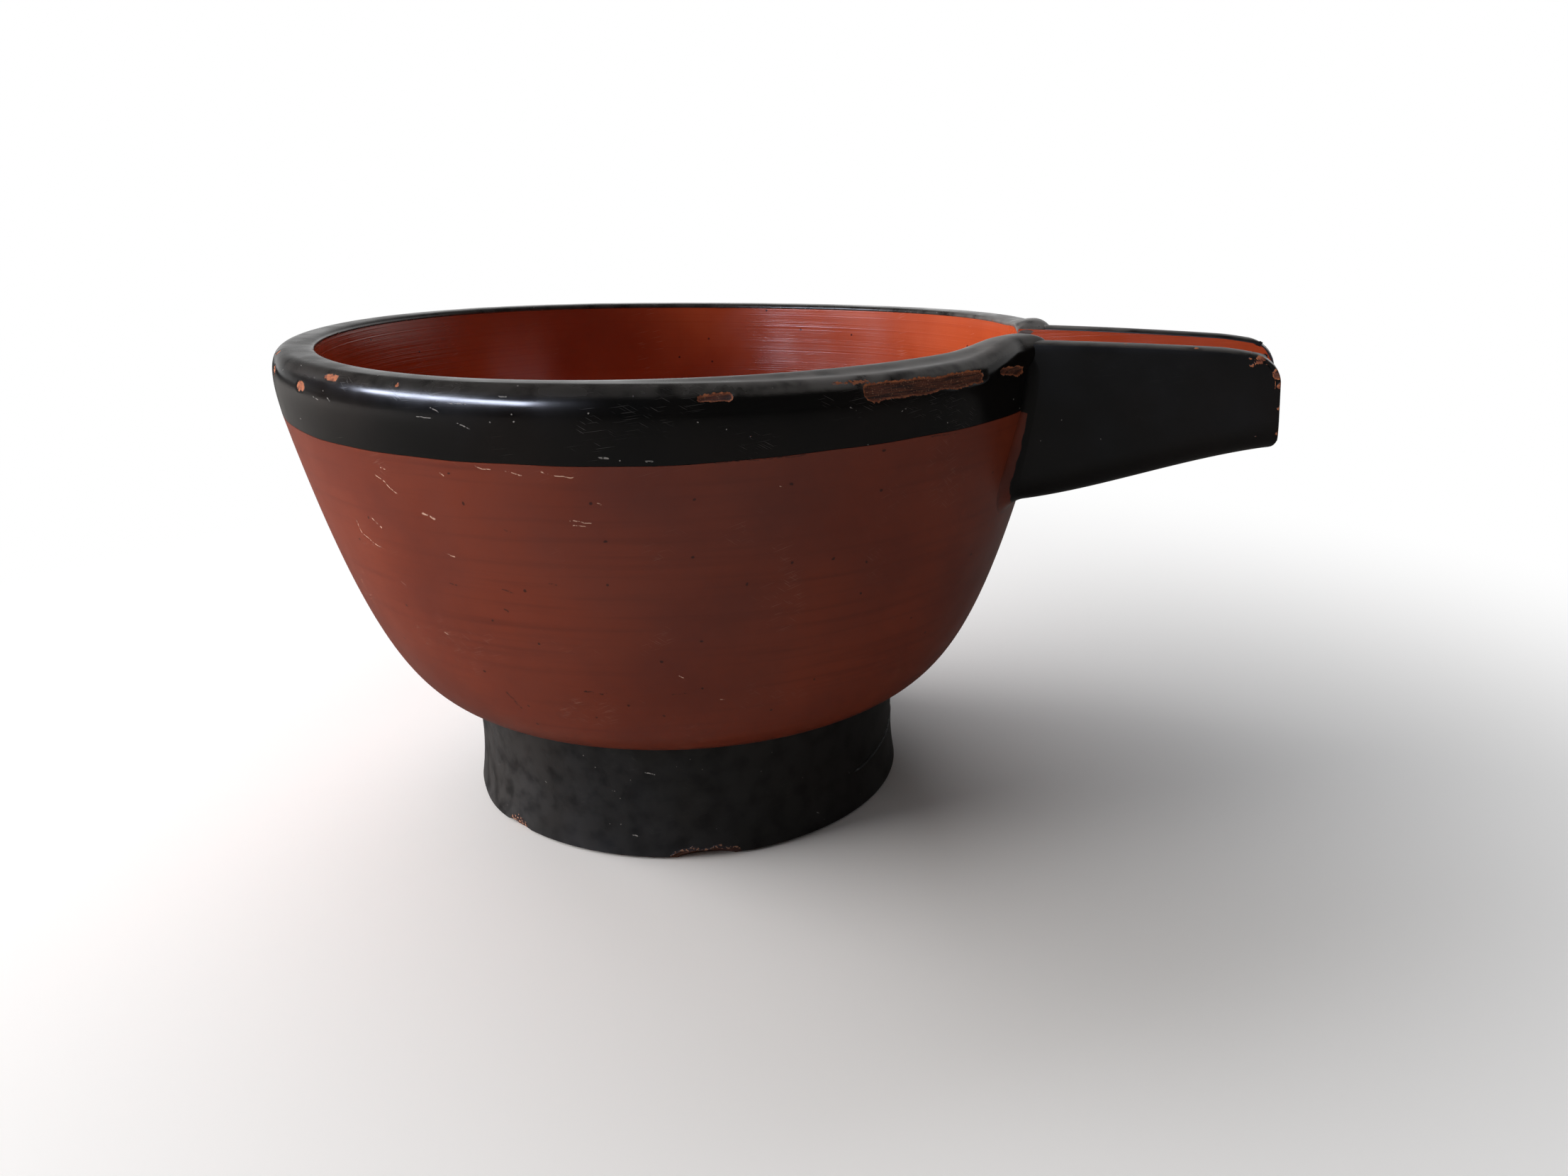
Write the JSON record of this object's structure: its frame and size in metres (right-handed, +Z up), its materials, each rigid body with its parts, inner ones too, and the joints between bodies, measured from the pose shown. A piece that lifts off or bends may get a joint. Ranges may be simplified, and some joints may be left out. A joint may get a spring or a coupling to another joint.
{
  "type": "spouted lacquer bowl",
  "caption": "Turned wooden bowl on a tall foot ring with an open trough spout, lacquered red outside, vermilion inside and black at rim, spout and foot, for pouring sake.",
  "frame": {"origin": "on the surface it stands on, under the middle of the whole length from the back of the rim to the tip of the spout", "axes": "+X the way the spout points, +Z up, +Y across the bowl"},
  "size_m": [0.3142, 0.25, 0.1605],
  "materials": {
    "wood": "turned and carved, under the ground coats",
    "bamboo": "split and rounded pins",
    "lacquer_filler": "clay and sawdust lacquer, coated",
    "black_lacquer": "satin black lacquer, chipped and rubbed",
    "red_lacquer": "aged red-brown lacquer, glossy, scratched",
    "vermilion_lacquer": "glossy vermilion lacquer"
  },
  "bodies": {
    "root": {"bowl_core": "wood", "foot_ring": "wood", "spout_core": "wood", "joint_filler": "lacquer_filler", "rim_black_lacquer": "black_lacquer", "outer_red_lacquer": "red_lacquer", "inner_vermilion_lacquer": "vermilion_lacquer", "foot_black_lacquer": "black_lacquer", "underside_black_lacquer": "black_lacquer", "spout_black_lacquer": "black_lacquer", "spout_vermilion_lacquer": "vermilion_lacquer", "spout_pin_1": "bamboo", "spout_pin_2": "bamboo", "spout_pin_3": "bamboo", "spout_pin_4": "bamboo", "spout_pin_5": "bamboo", "spout_pin_6": "bamboo"}
  },
  "joints": []
}
